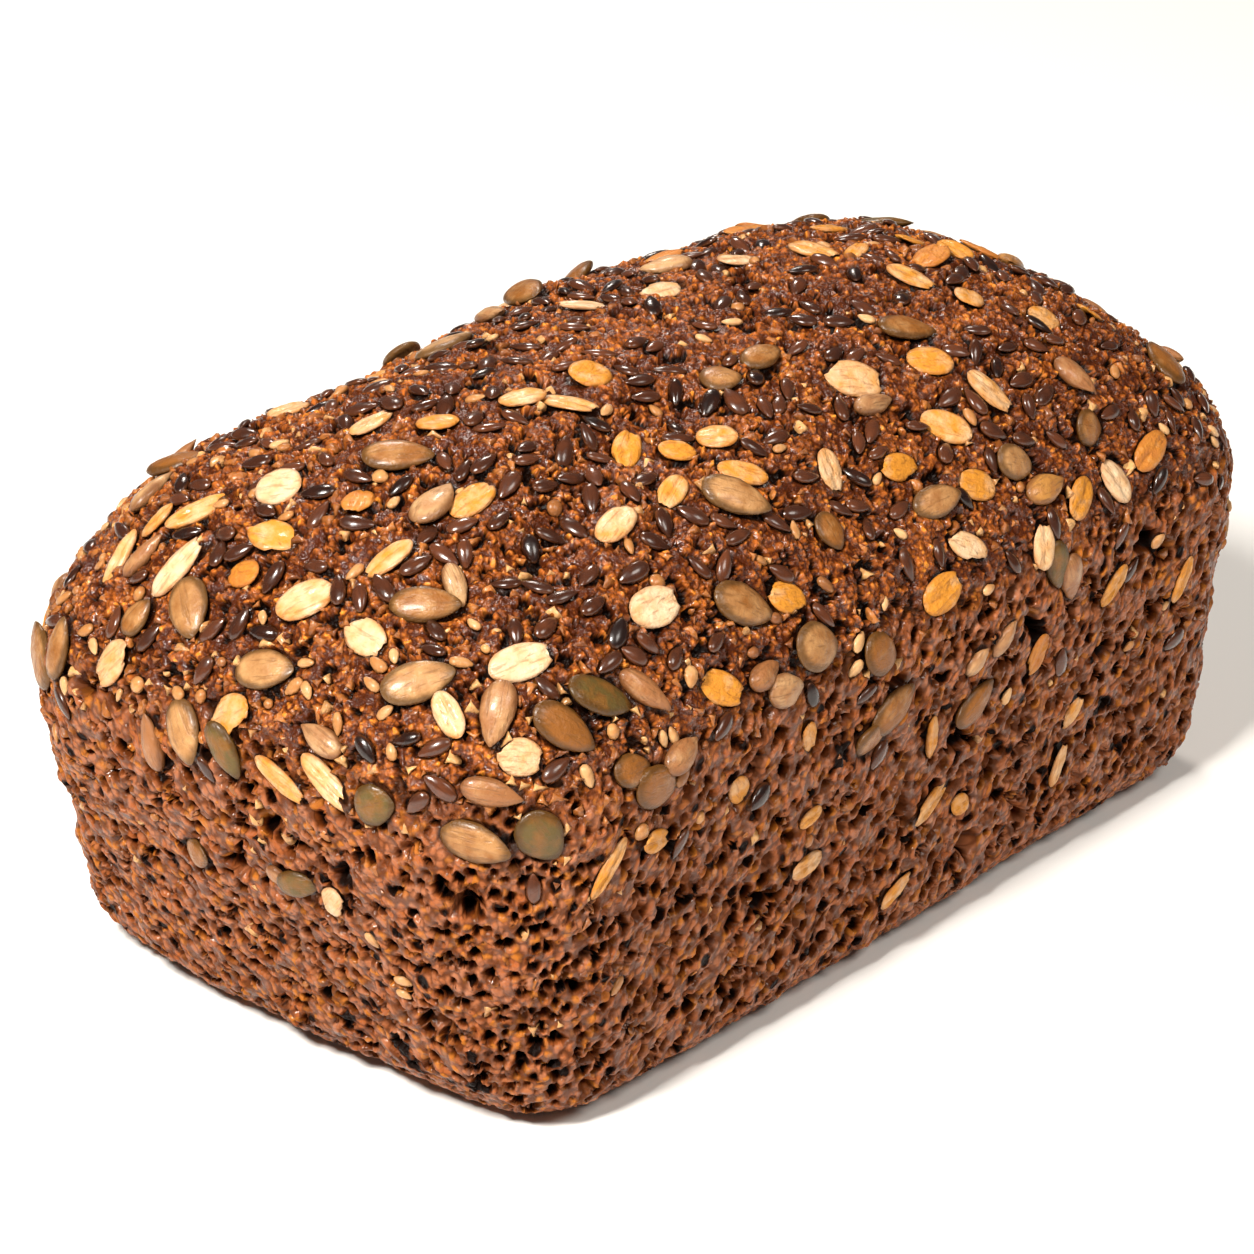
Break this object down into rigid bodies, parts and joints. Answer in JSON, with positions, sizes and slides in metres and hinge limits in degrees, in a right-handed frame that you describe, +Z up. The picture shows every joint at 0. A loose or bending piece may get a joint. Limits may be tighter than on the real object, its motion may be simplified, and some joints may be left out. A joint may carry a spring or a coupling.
{
  "type": "seeded rye bread loaf",
  "caption": "Rye bread loaf baked in a tin, with tapered pitted walls, rounded shoulders and a long domed top coated in seeds and flakes.",
  "frame": {"origin": "bottom centre of the loaf's bounding box, on the flat base it rests on", "axes": "+X along the loaf, +Y across it, +Z up from the base to the domed top"},
  "size_m": [0.1962, 0.1106, 0.0924],
  "materials": {
    "crust": "matt, cracked and pitted rye crust",
    "seeds": "satin seeds and flakes, from cream to dark brown"
  },
  "bodies": {
    "root": {"loaf": "crust"}
  },
  "joints": []
}
